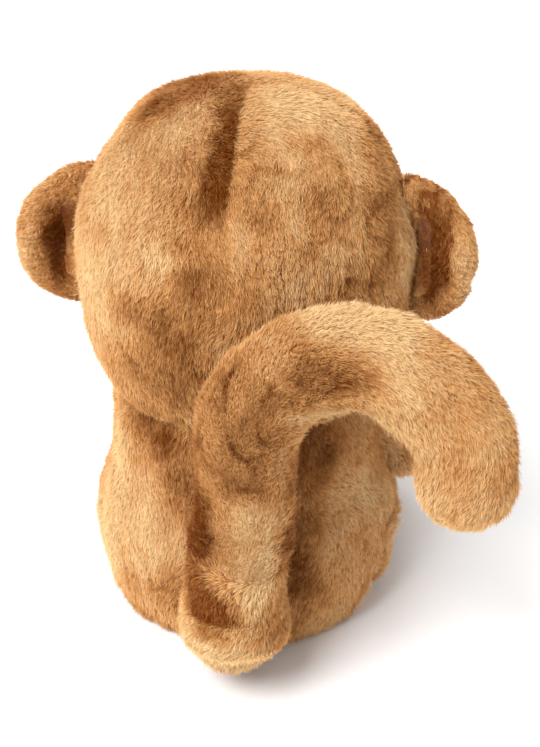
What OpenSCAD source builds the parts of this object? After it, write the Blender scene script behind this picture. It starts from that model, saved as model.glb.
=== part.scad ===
// Seated plush monkey with a hooked tail.
// Sewn pile-fabric covers over loose fibre filling, with a bag of pellets in the seat.
// The monkey faces -Y, and +X is its own left. The origin is the middle of the seat's underside.

/* [Head] */
// Radius of the skull
head_r = 83; // [80:1:86]
// Height of the skull's centre
head_z = 196; // [194:1:200]
// Radius of the full cheeks below the skull
jaw_r = 80; // [77:1:81]
// Height of the cheeks' centre
jaw_z = 170; // [169:1:174]
// Radius of the bare face panel
face_r = 54; // [46:1:56]
// Height of the face panel's centre
face_z = 190; // [186:1:194]

/* [Muzzle and face fittings] */
// Radius of the muzzle's ball
muzzle_r = 36; // [30:1:40]
// Height of the muzzle's centre
muzzle_z = 172; // [166:1:176]
// Radius of each eye
eye_r = 7.5; // [6:0.5:9]
// Radius of the nose button
nose_r = 9; // [7:0.5:11]
// Thickness of the mouth's thread
thread_d = 2; // [1.5:0.1:2.5]

/* [Ears] */
// Radius of the ear's round outline
ear_r = 37.5; // [35:0.5:39]
// Thickness of an ear over its two layers and padding
ear_t = 22; // [18:1:24]
// Height of the ears' centres
ear_z = 197; // [190:1:202]
// Angle that the ears are swept back
ear_sweep = 25; // [15:1:30]

/* [Torso] */
// Radius of the chest, which is also the ball that the head turns and nods on
chest_r = 68; // [66:1:69]
// Height of the chest's centre
chest_z = 91; // [88:1:93]
// Radius of the belly
belly_r = 79; // [76:1:80]
// Height of the belly's centre
belly_z = 40; // [38:1:42]

/* [Arms] */
// Radius of an arm
arm_r = 16.5; // [14:0.5:17]
// Height of the shoulders
shoulder_z = 90; // [88:1:91]

/* [Legs] */
// Radius of a leg
leg_r = 23; // [21:1:24]
// Radius of a foot
foot_r = 26; // [24:1:28]
// Distance of a hip from the middle plane
hip_x = 54; // [52:1:56]

/* [Tail] */
// Radius of the tail
tail_r = 22.5; // [20:0.5:23]
// Radius of the root, low on the back
root_r = 23; // [22.5:0.5:24]
// Radius of the hook along the tail's middle line
hook_r = 51; // [48:1:54]

/* [Cloth] */
// Thickness of the pile fabric
cloth = 3; // [2:0.5:3.5]
// Gap between pieces that move past each other
gap = 0.6; // [0.4:0.1:0.8]

/* [Hidden] */
$fn = 96;

// Colours of the dry pieces
fur = [0.77, 0.57, 0.36];
pale_fur = [0.87, 0.72, 0.52];
fibre = [0.95, 0.95, 0.93];
dark = [0.10, 0.06, 0.04];

// A length longer than the whole toy, for the cutting planes
far = 400;
// Play round a fitting that is pushed through cloth
fit = 0.1;

head_c = [0, -4, head_z];
jaw_c = [0, -4, jaw_z];
muzzle_c = [0, -62, muzzle_z];
neck_c = [0, 0, chest_z];
belly_c = [0, -2, belly_z];
// The cross seam that parts the back panels from the front ones
seam_y = -4;

// The neck's wad of filling lies in a cone about the upright through the chest's centre
neck_angle = 46;
neck_wad = 8;

// Eyes and nose: turned sideways by a yaw and lifted by a pitch about the ball that carries them
eye_yaw = 17;
eye_pitch = 8;
nose_pitch = 24;
fitting_sink = 1;
stem_r = 2.5;
stem_l = 9;
washer_r = 7;
washer_t = 2;
// How far a washer hangs below the cloth's inner face on the fitting's axis, to clear the cloth's curve at its rim
washer_drop = 0.9;
mouth_reach = 30;
mouth_sweep = 120;

// The ear folds on an upright line just outside the skull
ear_root_r = ear_t / 2 + 0.5;
ear_hinge = [head_r + ear_root_r + gap, head_c[1] + 5, ear_z];
ear_disc_x = -15;
ear_layer = 4;
ear_pad_t = ear_t - 2 * ear_layer;

left_shoulder = [61, -30, shoulder_z];
left_hand = [60, -70, 68];
right_shoulder = [-64, -20, shoulder_z];
right_hand = [-80, -26, 71];

hip_y = 2;
foot_x = 48;
foot_y = -100;
sole_r = 19.5;
leg_room_y = 18;
leg_room_z = 52.5;
function hip(side) = [side * hip_x, hip_y, leg_r];
function foot(side) = [side * foot_x, foot_y, foot_r];

root_inner = [-3, 58, 27];
root_end = [-6, 94, 33];
stem_low = [-7, 100, 53];
stem_top = [-13, 101, 118];
hook_c = [stem_top[0] - hook_r, stem_top[1], 139];
tip_l = 9;

pellet_r = 23;
pellet_h = 24;
pellet_crown = 50;

// Everything above a level, below it, or on one side of a plane
module above(z) translate([-far, -far, z]) cube(2 * far);
module below(z) translate([-far, -far, z - 2 * far]) cube(2 * far);
module behind(y) translate([-far, y, -far]) cube(2 * far);
module in_front(y) translate([-far, y - 2 * far, -far]) cube(2 * far);
module on_side(side) translate([side > 0 ? 0 : -2 * far, -far, -far]) cube(2 * far);
module ball(c, r) translate(c) sphere(r = r);

// Its children turned so that their Z runs from one point to another
module along(a, b) translate(a) rotate([0, acos((b - a)[2] / norm(b - a)), atan2((b - a)[1], (b - a)[0])])
    children();
// A round bar between two points with a ball on each end, the far one as large as the bar or larger
module bar(a, b, r, end_r) along(a, b) {
    sphere(r = r);
    cylinder(h = norm(b - a), r = r);
    translate([0, 0, norm(b - a)]) sphere(r = end_r);
}
module limb(a, b, r) bar(a, b, r, r);

// Head: a skull ball over a lower cheek ball
module head_form(grow) {
    ball(head_c, head_r + grow);
    ball(jaw_c, jaw_r + grow);
}
module head_shell() difference() {
    head_form(0);
    head_form(-cloth);
    ball(neck_c, chest_r + gap);
}
module face_column(r) translate([0, seam_y, face_z]) rotate([90, 0, 0]) cylinder(h = far, r = r);
module head_back(side) color(fur) difference() {
    head_shell();
    in_front(seam_y);
    on_side(-side);
}
module head_back_left() head_back(1);
module head_back_right() head_back(-1);
module head_front() color(fur) difference() {
    head_shell();
    behind(seam_y);
    face_column(face_r);
}
module face_patch() color(pale_fur) difference() {
    intersection() {
        head_shell();
        face_column(face_r);
    }
    for (side = [1, -1]) on_eye(side) fitting_pocket(eye_r);
    on_nose() stem_hole();
}
module head_stuffing() color(fibre) difference() {
    head_form(-cloth);
    ball(neck_c, chest_r + gap + cloth);
    for (side = [1, -1]) on_eye(side) washer_pocket();
}

// Fittings pushed through the cloth: each frame's Z points out of the face
module on_ball(c, r, yaw, pitch)
    translate(c) rotate([0, 0, yaw]) rotate([90 - pitch, 0, 0]) translate([0, 0, r - fitting_sink]) children();
module on_eye(side) on_ball(head_c, head_r, side * eye_yaw, eye_pitch) children();
module on_nose() on_ball(muzzle_c, muzzle_r, 0, nose_pitch) children();
module button(r) {
    intersection() {
        sphere(r = r);
        cylinder(h = r, r = r + 1);
    }
    translate([0, 0, -stem_l]) cylinder(h = stem_l, r = stem_r);
}
module stem_hole() translate([0, 0, -stem_l - 1]) cylinder(h = stem_l + 2, r = stem_r + fit);
module fitting_pocket(r) {
    cylinder(h = 2 * r, r = r + fit);
    stem_hole();
}
module washer_place() translate([0, 0, fitting_sink - cloth - washer_drop - washer_t])
    children();
module washer() washer_place() difference() {
    cylinder(h = washer_t, r = washer_r);
    translate([0, 0, -1]) cylinder(h = washer_t + 2, r = stem_r + fit);
}
module washer_pocket() {
    washer_place() translate([0, 0, -fit]) cylinder(h = washer_t + washer_drop + cloth, r = washer_r + fit);
    stem_hole();
}
module left_eye() color(dark) on_eye(1) button(eye_r);
module right_eye() color(dark) on_eye(-1) button(eye_r);
module left_eye_washer() color("white") on_eye(1) washer();
module right_eye_washer() color("white") on_eye(-1) washer();
module nose_button() color(dark) on_nose() button(nose_r);
module nose_washer() color("white") on_nose() washer();

// Muzzle: a stuffed ball sewn on the face
module mouth_line(r) translate(muzzle_c) rotate([90, 0, 0]) translate([0, 0, mouth_reach])
    rotate([0, 0, 270 - mouth_sweep / 2]) rotate_extrude(angle = mouth_sweep)
        translate([sqrt(muzzle_r * muzzle_r - mouth_reach * mouth_reach), 0]) circle(r = r);
module muzzle_cover() color(pale_fur) difference() {
    ball(muzzle_c, muzzle_r);
    ball(muzzle_c, muzzle_r - cloth);
    head_form(0);
    on_nose() fitting_pocket(nose_r);
    mouth_line(thread_d / 2 + fit);
}
module muzzle_stuffing() color(fibre) difference() {
    ball(muzzle_c, muzzle_r - cloth);
    head_form(0);
    on_nose() washer_pocket();
}
module mouth_thread() color(dark) mouth_line(thread_d / 2);

// Ears: a round flap in three layers, whose root is round about the fold line beside the head.
// The frame's X points out of the head, its Y up, and its Z forwards through the layers
module ear_frame(side) mirror([side > 0 ? 0 : 1, 0, 0]) translate(ear_hinge) rotate([0, 0, ear_sweep])
    rotate([90, 0, 0]) children();
module ear_flap(inset, low, high) intersection() {
    translate([ear_disc_x, 0, low]) cylinder(h = high - low, r = ear_r - inset);
    union() {
        rotate([90, 0, 0]) cylinder(h = 2 * ear_r, r = ear_root_r - inset, center = true);
        translate([0, -ear_r, -ear_t]) cube([2 * ear_r, 2 * ear_r, 2 * ear_t]);
    }
}
module ear_back(side) color(fur) ear_frame(side) difference() {
    ear_flap(0, -ear_t / 2, ear_pad_t / 2);
    ear_flap(ear_layer, -ear_pad_t / 2, ear_t);
}
module ear_lining(side) color(pale_fur) ear_frame(side) ear_flap(0, ear_pad_t / 2, ear_t / 2);
module ear_padding(side) color(fibre) ear_frame(side) ear_flap(ear_layer, -ear_pad_t / 2, ear_pad_t / 2);
module left_ear_back() ear_back(1);
module left_ear_lining() ear_lining(1);
module left_ear_padding() ear_padding(1);
module right_ear_back() ear_back(-1);
module right_ear_lining() ear_lining(-1);
module right_ear_padding() ear_padding(-1);

// Neck: a dished wad of filling between the chest and the head
module neck_layer(low, high, play) difference() {
    intersection() {
        ball(neck_c, high);
        translate(neck_c) cylinder(h = far, r1 = play, r2 = far * tan(neck_angle) + play);
    }
    ball(neck_c, low);
}
module neck_stuffing() color(fibre) neck_layer(chest_r - neck_wad + gap, chest_r - gap, 0);

// Torso: a chest ball over a wider belly ball, flat underneath
module torso_form(grow) {
    ball(neck_c, chest_r + grow);
    ball(belly_c, belly_r + grow);
}
module neck_pocket() neck_layer(chest_r - neck_wad, chest_r + 1, 2 * gap);
module arm_hollows() {
    limb(left_shoulder, left_hand, arm_r + gap);
    limb(right_shoulder, right_hand, arm_r + gap);
}
// The same hollow in the filling, with a flat end behind the shoulder and past the hand
module arm_tunnel(a, b) along(a, b) translate([0, 0, -arm_r - gap])
    cylinder(h = norm(b - a) + 2 * (arm_r + gap), r = arm_r + gap);
// The room beside a leg that it swings out into, from a distance off the middle plane outwards
module leg_room(side, inner_x, back_y) mirror([side > 0 ? 0 : 1, 0, 0]) translate([inner_x, back_y - far, -1])
    cube([far, far, leg_room_z + 1]);
module torso_cuts() {
    below(0);
    neck_pocket();
    arm_hollows();
    for (side = [1, -1]) {
        leg_form(side, gap);
        leg_room(side, hip_x, leg_room_y);
    }
}
module torso_shell() difference() {
    torso_form(0);
    torso_form(-cloth);
    torso_cuts();
    below(cloth);
}
module torso_back(side) color(fur) difference() {
    torso_shell();
    in_front(seam_y);
    on_side(-side);
}
module torso_back_left() torso_back(1);
module torso_back_right() torso_back(-1);
module belly_panel() color(fur) difference() {
    torso_shell();
    behind(seam_y);
}
module seat_base() color(fur) difference() {
    ball(belly_c, belly_r);
    above(cloth);
    torso_cuts();
}
module torso_stuffing() color(fibre) difference() {
    torso_form(-cloth);
    below(cloth);
    neck_pocket();
    arm_tunnel(left_shoulder, left_hand);
    arm_tunnel(right_shoulder, right_hand);
    for (side = [1, -1]) leg_room(side, foot_x - leg_r - gap, hip_y + leg_r + gap);
    pellet_form();
}
module pellet_form() translate([0, 0, cloth]) intersection() {
    cylinder(h = pellet_h, r = pellet_r);
    ball([0, 0, pellet_h - pellet_crown], pellet_crown);
}
module pellet_bag() color("ivory") pellet_form();

// Arms
module arm_cover(a, b) color(fur) difference() {
    limb(a, b, arm_r);
    limb(a, b, arm_r - cloth);
}
module arm_stuffing(a, b) color(fibre) limb(a, b, arm_r - cloth);
module left_arm_cover() arm_cover(left_shoulder, left_hand);
module left_arm_stuffing() arm_stuffing(left_shoulder, left_hand);
module right_arm_cover() arm_cover(right_shoulder, right_hand);
module right_arm_stuffing() arm_stuffing(right_shoulder, right_hand);

// Legs: a bar with a rounder foot, whose sole faces forwards
module leg_form(side, grow) bar(hip(side), foot(side), leg_r + grow, foot_r + grow);
module sole_column(side) translate(foot(side)) rotate([90, 0, 0]) cylinder(h = far, r = sole_r);
module leg_cover(side) color(fur) difference() {
    leg_form(side, 0);
    leg_form(side, -cloth);
    sole_column(side);
}
module sole(side) color(pale_fur) intersection() {
    difference() {
        ball(foot(side), foot_r);
        ball(foot(side), foot_r - cloth);
    }
    sole_column(side);
}
module leg_stuffing(side) color(fibre) leg_form(side, -cloth);
module left_leg_cover() leg_cover(1);
module left_sole() sole(1);
module left_leg_stuffing() leg_stuffing(1);
module right_leg_cover() leg_cover(-1);
module right_sole() sole(-1);
module right_leg_stuffing() leg_stuffing(-1);

// Tail: a root low on the back, an upright stem that turns on it, and a hook that bends on the stem
// The root is cut level all over, just under the stem's flat lower end
module root_form(grow) difference() {
    union() {
        limb(root_inner, root_end, root_r + grow);
        translate([stem_low[0], stem_low[1], root_end[2]])
            cylinder(h = stem_low[2] - root_end[2], r = tail_r + grow);
    }
    above(stem_low[2] - gap);
    ball(belly_c, belly_r);
}
module tail_root_cover() color(fur) difference() {
    root_form(0);
    difference() {
        root_form(-cloth);
        above(stem_low[2] - gap - cloth);
    }
}
module tail_root_stuffing() color(fibre) difference() {
    root_form(-cloth);
    above(stem_low[2] - gap - cloth);
}
// The stem's bar starts below its flat lower end, so that the plane cuts it cleanly
module stem_form(grow) difference() {
    limb(stem_low + (stem_low - stem_top) / 2, stem_top, tail_r + grow);
    below(stem_low[2] - grow);
}
module tail_stem_cover() color(fur) difference() {
    stem_form(0);
    stem_form(-cloth);
}
module tail_stem_stuffing() color(fibre) stem_form(-cloth);
module hook_form(grow) difference() {
    union() {
        translate(stem_top) cylinder(h = hook_c[2] - stem_top[2], r = tail_r + grow);
        translate(hook_c) rotate([90, 0, 0]) rotate_extrude(angle = 180)
            translate([hook_r, 0]) circle(r = tail_r + grow);
        limb(hook_c - [hook_r, 0, 0], hook_c - [hook_r, 0, tip_l], tail_r + grow);
    }
    ball(stem_top, tail_r + gap - grow);
}
module tail_hook_cover() color(fur) difference() {
    hook_form(0);
    hook_form(-cloth);
}
module tail_hook_stuffing() color(fibre) hook_form(-cloth);

head_back_left();
head_back_right();
head_front();
face_patch();
head_stuffing();
muzzle_cover();
muzzle_stuffing();
left_eye();
right_eye();
left_eye_washer();
right_eye_washer();
nose_button();
nose_washer();
mouth_thread();
left_ear_back();
left_ear_lining();
left_ear_padding();
right_ear_back();
right_ear_lining();
right_ear_padding();
neck_stuffing();
torso_back_left();
torso_back_right();
belly_panel();
seat_base();
torso_stuffing();
pellet_bag();
left_arm_cover();
left_arm_stuffing();
right_arm_cover();
right_arm_stuffing();
left_leg_cover();
left_sole();
left_leg_stuffing();
right_leg_cover();
right_sole();
right_leg_stuffing();
tail_root_cover();
tail_root_stuffing();
tail_stem_cover();
tail_stem_stuffing();
tail_hook_cover();
tail_hook_stuffing();
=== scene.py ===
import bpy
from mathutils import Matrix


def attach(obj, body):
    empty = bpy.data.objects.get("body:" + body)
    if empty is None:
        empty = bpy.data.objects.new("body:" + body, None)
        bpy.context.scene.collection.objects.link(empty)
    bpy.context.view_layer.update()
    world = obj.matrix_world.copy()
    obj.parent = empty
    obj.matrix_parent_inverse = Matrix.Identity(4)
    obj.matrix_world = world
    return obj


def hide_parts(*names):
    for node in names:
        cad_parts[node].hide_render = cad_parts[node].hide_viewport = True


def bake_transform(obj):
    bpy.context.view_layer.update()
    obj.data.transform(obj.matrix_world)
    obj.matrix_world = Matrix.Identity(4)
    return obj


bl_info = {
    "name": "Seated Plush Monkey",
    "version": (1, 0, 0),
    "blender": (4, 5, 0),
    "location": "View3D > Sidebar > Plush",
    "description": "Builds the sewn covers, pile, filling and fittings of a seated plush monkey",
    "category": "Object",
}

import math

import bpy
import numpy as np
from mathutils import Vector

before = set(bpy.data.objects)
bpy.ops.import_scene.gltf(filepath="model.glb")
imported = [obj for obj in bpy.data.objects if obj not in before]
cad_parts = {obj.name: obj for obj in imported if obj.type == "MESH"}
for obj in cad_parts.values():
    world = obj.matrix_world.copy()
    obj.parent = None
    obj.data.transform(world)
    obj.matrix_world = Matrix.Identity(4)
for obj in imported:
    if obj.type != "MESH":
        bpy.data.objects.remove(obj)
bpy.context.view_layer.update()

# Sizes are in millimetres in the shapes and become metres in the meshes
MM = 0.001
TAU = 2 * math.pi

# The pattern's sizes, as the frame has them
HEAD_MIDDLE = np.array([0.0, -4.0, 190.0])
SKULL = (np.array([0.0, -4.0, 196.0]), 83.0)
CHEEKS = (np.array([0.0, -4.0, 170.0]), 80.0)
FACE_RADIUS = 54.0
CROSS_SEAM_Y = -4.0
MUZZLE = (np.array([0.0, -62.0, 172.0]), 36.0)
CHEST = (np.array([0.0, 0.0, 91.0]), 68.0)
BELLY = (np.array([0.0, -2.0, 40.0]), 79.0)
TORSO_MIDDLE = np.array([0.0, -4.0, 62.0])
NECK_PLAY = 1.0
CLOTH = 3.0
# Pile worn off the tail's front, where the head would press on it when it nods back
HEAD_PLAY = 1.6
SOFT_GAP = 1.0

LEFT_ARM = (np.array([61.0, -30.0, 90.0]), np.array([60.0, -70.0, 68.0]))
RIGHT_ARM = (np.array([-64.0, -20.0, 90.0]), np.array([-79.0, -25.0, 74.0]))
ARM_RADIUS = 16.5
LEFT_LEG = (np.array([54.0, 2.0, 23.0]), np.array([48.0, -100.0, 26.0]))
RIGHT_LEG = (np.array([-54.0, 2.0, 23.0]), np.array([-48.0, -100.0, 26.0]))
LEG_RADIUS = 23.0
FOOT_RADIUS = 26.0
SOLE_RADIUS = 19.5
ROOM_HEIGHT = 52.5

EAR_HINGE = np.array([95.1, 1.0, 197.0])
EAR_RADIUS = 37.5
EAR_HALF = 11.0
EAR_SWEEP = math.radians(25)
EAR_DISC_X = -17.0

TAIL_RADIUS = 22.5
ROOT_RADIUS = 23.0
STEM_FOOT = np.array([-7.0, 100.0, 53.0])
STEM_TOP = np.array([-13.0, 101.0, 118.0])
HOOK_MIDDLE = np.array([-64.0, 101.0, 139.0])
HOOK_RADIUS = 51.0
TIP_LENGTH = 9.0


# Noise and small vector sums, on whole arrays


def lattice(cells, seed):
    """A value from 0 to 1 for each whole-number cell, hashed from its three coordinates and the seed."""
    c = cells.astype(np.int64)
    h = c[..., 0] * 374761393 + c[..., 1] * 668265263 + c[..., 2] * 2147483647 + seed * 1274126177
    h = (h ^ (h >> 13)) * 1274126177
    h = h ^ (h >> 16)
    return (h & 0xFFFFFF) / float(0xFFFFFF)


def cloud(points, size, seed):
    """Smooth noise from -1 to 1: the values at the corners of each cell of this size, eased across it."""
    q = points / size
    cell = np.floor(q)
    f = q - cell
    f = f * f * (3 - 2 * f)
    total = np.zeros(points.shape[:-1])
    for corner in range(8):
        step = np.array([corner & 1, corner >> 1 & 1, corner >> 2])
        weight = np.prod(np.where(step, f, 1 - f), axis=-1)
        total += weight * lattice(cell + step, seed)
    return 2 * total - 1


def dot(a, b):
    return np.sum(a * b, axis=-1)


def unit(v):
    return v / np.maximum(np.linalg.norm(v, axis=-1, keepdims=True), 1e-9)


def smooth_step(x, low, high):
    t = np.clip((x - low) / (high - low), 0, 1)
    return t * t * (3 - 2 * t)


def ball_exit(start, way, ball):
    """Distance along each way from a start inside a ball to the ball's surface."""
    offset = start - ball[0]
    b = way @ offset
    return -b + np.sqrt(np.maximum(b * b - offset @ offset + ball[1] ** 2, 0))


def bar_distance(points, bar):
    """Distance from each point to the straight line between a bar's two ends."""
    a, b = bar
    t = np.clip((points - a) @ (b - a) / ((b - a) @ (b - a)), 0, 1)
    return np.linalg.norm(points - a - t[..., None] * (b - a), axis=-1)


def soft_max(a, b, blend):
    return 0.5 * (a + b + np.sqrt((a - b) ** 2 + blend**2))


def grid(count_u, count_v, around=False):
    """Parameters u and v from 0 to 1. A grid that closes on itself leaves out u = 1."""
    u = np.linspace(0, 1, count_u, endpoint=not around)
    v = np.linspace(0, 1, count_v)
    return np.meshgrid(u, v, indexing="ij")


def grid_normals(points, around, outward):
    """The cross product of the two grid directions, pointing the same way as outward, which also fills poles."""
    if around:
        du = np.roll(points, -1, axis=0) - np.roll(points, 1, axis=0)
    else:
        du = np.gradient(points, axis=0)
    dv = np.gradient(points, axis=1)
    n = np.cross(du, dv)
    size = np.linalg.norm(n, axis=-1, keepdims=True)
    n = np.where(size > 1e-7, n / np.maximum(size, 1e-12), 0)
    n = n * np.sign(dot(n, outward))[..., None]
    for end in (0, -1):
        if np.linalg.norm(points[:, end].std(axis=0)) < 1e-6:
            n[:, end] = unit(n[:, 1 if end == 0 else -2].mean(axis=0))
    return unit(n + 1e-4 * unit(outward))


# Meshes


def finish_mesh(name, points, quads, fields=None):
    """Puts points and four-cornered faces into a mesh, where a face with two corners in one place is a triangle."""
    same = quads == np.roll(quads, -1, axis=1)
    doubles = same.sum(axis=1)
    whole = quads[doubles == 0]
    thin = quads[doubles == 1]
    three = np.zeros((0, 3), int)
    if len(thin):
        three = thin[~same[doubles == 1]].reshape(-1, 3)
    used = np.zeros(len(points), bool)
    used[whole.ravel()] = True
    used[three.ravel()] = True
    number = np.cumsum(used) - 1
    points = points[used]
    loops = np.concatenate([number[whole].ravel(), number[three].ravel()])
    starts = np.concatenate(
        [np.arange(len(whole)) * 4, len(whole) * 4 + np.arange(len(three)) * 3]
    )
    mesh = bpy.data.meshes.new(name)
    mesh.vertices.add(len(points))
    mesh.vertices.foreach_set("co", (points * MM).astype(np.float32).ravel())
    mesh.loops.add(len(loops))
    mesh.loops.foreach_set("vertex_index", loops.astype(np.int32))
    mesh.polygons.add(len(starts))
    mesh.polygons.foreach_set("loop_start", starts.astype(np.int32))
    mesh.update(calc_edges=True)
    mesh.validate()
    for field, values in (fields or {}).items():
        attribute = mesh.attributes.new(field, "FLOAT", "POINT")
        attribute.data.foreach_set("value", values[used].astype(np.float32))
    mesh.shade_smooth()
    piece = bpy.data.objects.new(name, mesh)
    bpy.context.scene.collection.objects.link(piece)
    return piece


def indexes(shape, start, around, pole_low, pole_high):
    """The number of each grid point, with a pole's row all one point and a closed grid's first column repeated."""
    n = start + np.arange(shape[0] * shape[1]).reshape(shape[:2])
    if pole_low:
        n[:, 0] = n[0, 0]
    if pole_high:
        n[:, -1] = n[0, -1]
    return np.vstack([n, n[:1]]) if around else n


def faces_of(n):
    return np.stack([n[:-1, :-1], n[1:, :-1], n[1:, 1:], n[:-1, 1:]], axis=-1).reshape(-1, 4)


def shell(name, outer, inner, around, poles, fields=None):
    """A closed wall between an outer and an inner grid: both grids' faces, and a strip along each open edge."""
    a = indexes(outer.shape, 0, around, *poles)
    b = indexes(inner.shape, outer.shape[0] * outer.shape[1], around, *poles)
    parts = [faces_of(a), faces_of(b)[:, ::-1]]
    if not poles[0]:
        parts.append(np.stack([a[1:, 0], a[:-1, 0], b[:-1, 0], b[1:, 0]], axis=-1))
    if not poles[1]:
        parts.append(np.stack([a[:-1, -1], a[1:, -1], b[1:, -1], b[:-1, -1]], axis=-1))
    if not around:
        parts.append(np.stack([a[0, :-1], a[0, 1:], b[0, 1:], b[0, :-1]], axis=-1))
        parts.append(np.stack([a[-1, 1:], a[-1, :-1], b[-1, :-1], b[-1, 1:]], axis=-1))
    quads = np.concatenate(parts)
    points = np.concatenate([outer.reshape(-1, 3), inner.reshape(-1, 3)])
    return finish_mesh(name, points, outward_faces(points, quads), doubled(fields))


def closed_skin(name, outer, fields=None):
    """One closed surface: a grid that closes on itself, with a pole at each end."""
    quads = faces_of(indexes(outer.shape, 0, True, True, True))
    points = outer.reshape(-1, 3)
    flat = {k: v.ravel() for k, v in (fields or {}).items()}
    return finish_mesh(name, points, outward_faces(points, quads), flat)


def doubled(fields):
    return {k: np.concatenate([v.ravel(), v.ravel()]) for k, v in (fields or {}).items()}


def outward_faces(points, quads):
    """Turns all faces round if the volume that they enclose comes out negative."""
    middle = points.mean(axis=0)
    p = points - middle
    volume = dot(p[quads[:, 0]], np.cross(p[quads[:, 1]], p[quads[:, 2]])).sum()
    volume += dot(p[quads[:, 0]], np.cross(p[quads[:, 2]], p[quads[:, 3]])).sum()
    return quads if volume > 0 else quads[:, ::-1]


# Pile: the way it is combed, its tufts, its painted light and shade and its strands


def combed(points, normals, flow, swirl, seed):
    """The nap's direction: the flow laid on the surface and turned about the normal by broad and fine noise."""
    t = unit(flow - dot(flow, normals)[..., None] * normals)
    turn = swirl * cloud(points, 46, seed) + 0.45 * swirl * cloud(points, 17, seed + 1)
    turn = turn[..., None]
    return t * np.cos(turn) + np.cross(normals, t) * np.sin(turn)


def tufts(points, nap):
    """Relief from -1 to 1: fine noise averaged along the nap, so that it draws out into locks."""
    total = np.zeros(points.shape[:-1])
    for step in range(-3, 4):
        at = points + step * 1.5 * nap
        total += cloud(at, 3.4, 11) + 0.6 * cloud(at, 1.9, 12)
    return total / 5.5


def dabs(points, marks, firm=1.0):
    """The sum of soft spots, each a middle, three radii and a strength. Firmer spots have sharper edges."""
    total = np.zeros(points.shape[:-1])
    for middle, radii, strength in marks:
        d = (points - np.array(middle)) / np.array(radii)
        total += strength * np.exp(-(dot(d, d) ** firm))
    return total


def painted_light_and_shade(points, marks, seed, ruffled):
    """Painted light and shade of the pile, 0 dark to 1 light, standing for how the lying nap catches the light: broad
    and fine patches with firm edges, painted shade along dark partings, and the listed marks of painted light and
    shade.
    """
    wander = 2.5 * cloud(points, 12, seed + 20)[..., None] + 1.5 * cloud(points, 5, seed + 21)[..., None]
    broad = cloud(points, 38, seed) + 0.55 * cloud(points, 16, seed + 1)
    patch = np.tanh(2.6 * broad)
    fine = 0.5 * cloud(points, 6.5, seed + 2) + 0.4 * cloud(points, 2.6, seed + 3)
    # Painted shade: narrow dark lines where the pile parts, strongest in the ruffled places
    line = np.exp(-((cloud(points, 15, seed + 9) / 0.06) ** 2))
    painted_parting_shade = line * np.maximum(ruffled, smooth_step(cloud(points, 44, seed + 10), 0.1, 0.6))
    return np.clip(0.55 + 0.2 * patch + 0.2 * fine - 0.4 * painted_parting_shade + 1.25 * dabs(points + wander, marks, 1.7), 0, 1)


def edge_distance(outer, around, poles):
    """The shortest way along the grid's own lines to an open edge, in millimetres."""
    far = np.full(outer.shape[:2], 1e3)
    along_v = np.linalg.norm(np.diff(outer, axis=1), axis=-1)
    run = np.concatenate([np.zeros((outer.shape[0], 1)), np.cumsum(along_v, axis=1)], axis=1)
    if not poles[0]:
        far = np.minimum(far, run)
    if not poles[1]:
        far = np.minimum(far, run[:, -1:] - run)
    if not around:
        along_u = np.linalg.norm(np.diff(outer, axis=0), axis=-1)
        run = np.concatenate([np.zeros((1, outer.shape[1])), np.cumsum(along_u, axis=0)], axis=0)
        far = np.minimum(far, np.minimum(run, run[-1:] - run))
    return far


def napped(outer, around, poles, middle, flow, marks, seed, swirl=1.0, relief=None, dip=None, ruffles=()):
    """Raises a grid into tufts, sinks its open edges into a seam, and works out normals, nap and the painted light and
    shade.
    """
    pile = bpy.context.scene.plush_pile
    relief = pile.relief / MM if relief is None else relief
    dip = pile.seam_dip / MM if dip is None else dip
    normals = grid_normals(outer, around, outer - middle)
    ruffled = np.clip(dabs(outer, ruffles), 0, 1)
    nap = combed(outer, normals, np.broadcast_to(flow, outer.shape), swirl * (1 + 1.4 * ruffled), seed)
    height = relief * tufts(outer, nap)
    height += 0.9 * cloud(outer, 21, seed + 5) + 0.5 * cloud(outer, 9, seed + 6)
    height -= dip * np.exp(-((edge_distance(outer, around, poles) / 3.2) ** 2))
    raised = outer + normals * (height - 0.4)[..., None]
    height -= 0.8 * ruffled * np.exp(-((cloud(outer, 15, seed + 16) / 0.1) ** 2))
    # Painted light and shade of the pile, from noise and the listed marks
    painted_shade = painted_light_and_shade(outer, marks, seed + 7, ruffled)
    if poles[0]:
        raised[:, 0] = raised[:, 0].mean(axis=0)
    if poles[1]:
        raised[:, -1] = raised[:, -1].mean(axis=0)
    return raised, normals, nap, painted_shade


def nearest_tuft(places):
    """The way from each place to the nearest of the tufts, one of which stands somewhere in each unit cell."""
    cell = np.floor(places)
    best = np.full(len(places), 9.0)
    way = np.zeros_like(places)
    for number in range(27):
        near_cell = cell + np.array([number // 9, number // 3 % 3, number % 3]) - 1
        offset = near_cell + np.stack([lattice(near_cell, 71 + k) for k in range(3)], axis=-1) - places
        gap = dot(offset, offset)
        closer = gap < best
        best = np.where(closer, gap, best)
        way[closer] = offset[closer]
    return way


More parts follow.
